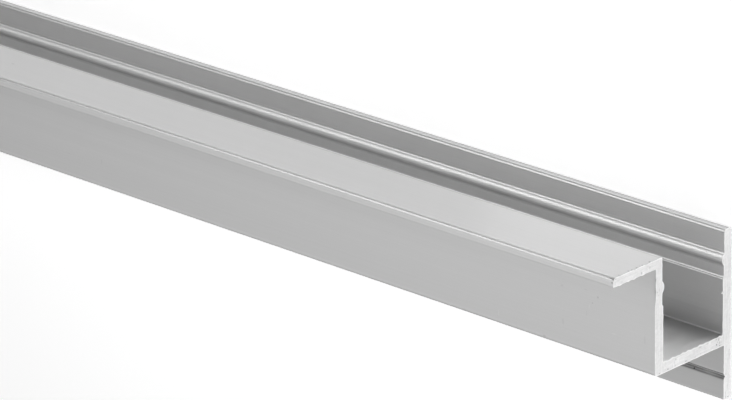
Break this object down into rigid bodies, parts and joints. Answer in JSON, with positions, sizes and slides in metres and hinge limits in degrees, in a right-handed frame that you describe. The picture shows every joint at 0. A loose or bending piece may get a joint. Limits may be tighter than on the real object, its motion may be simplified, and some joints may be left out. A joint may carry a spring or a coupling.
{
  "type": "aluminium led profile",
  "caption": "Straight length of extruded aluminium profile with an open channel for an LED strip, a flat screw leg behind it and an outward flange at the channel's mouth.",
  "frame": {"origin": "middle of the length and of the section's width, on the plane of the plate's outer face that the profile lies on", "axes": "+X along the length towards the sawn end that the picture shows, +Y across the section from the free edge of the screw leg to the visible face of the flange, +Z out of the plate's outer face towards the tip of the flange"},
  "size_m": [1, 0.0244, 0.0237],
  "materials": {
    "satin_aluminium": "satin anodised, with fine die lines along the length"
  },
  "bodies": {
    "root": {"led_profile": "satin_aluminium"}
  },
  "joints": []
}
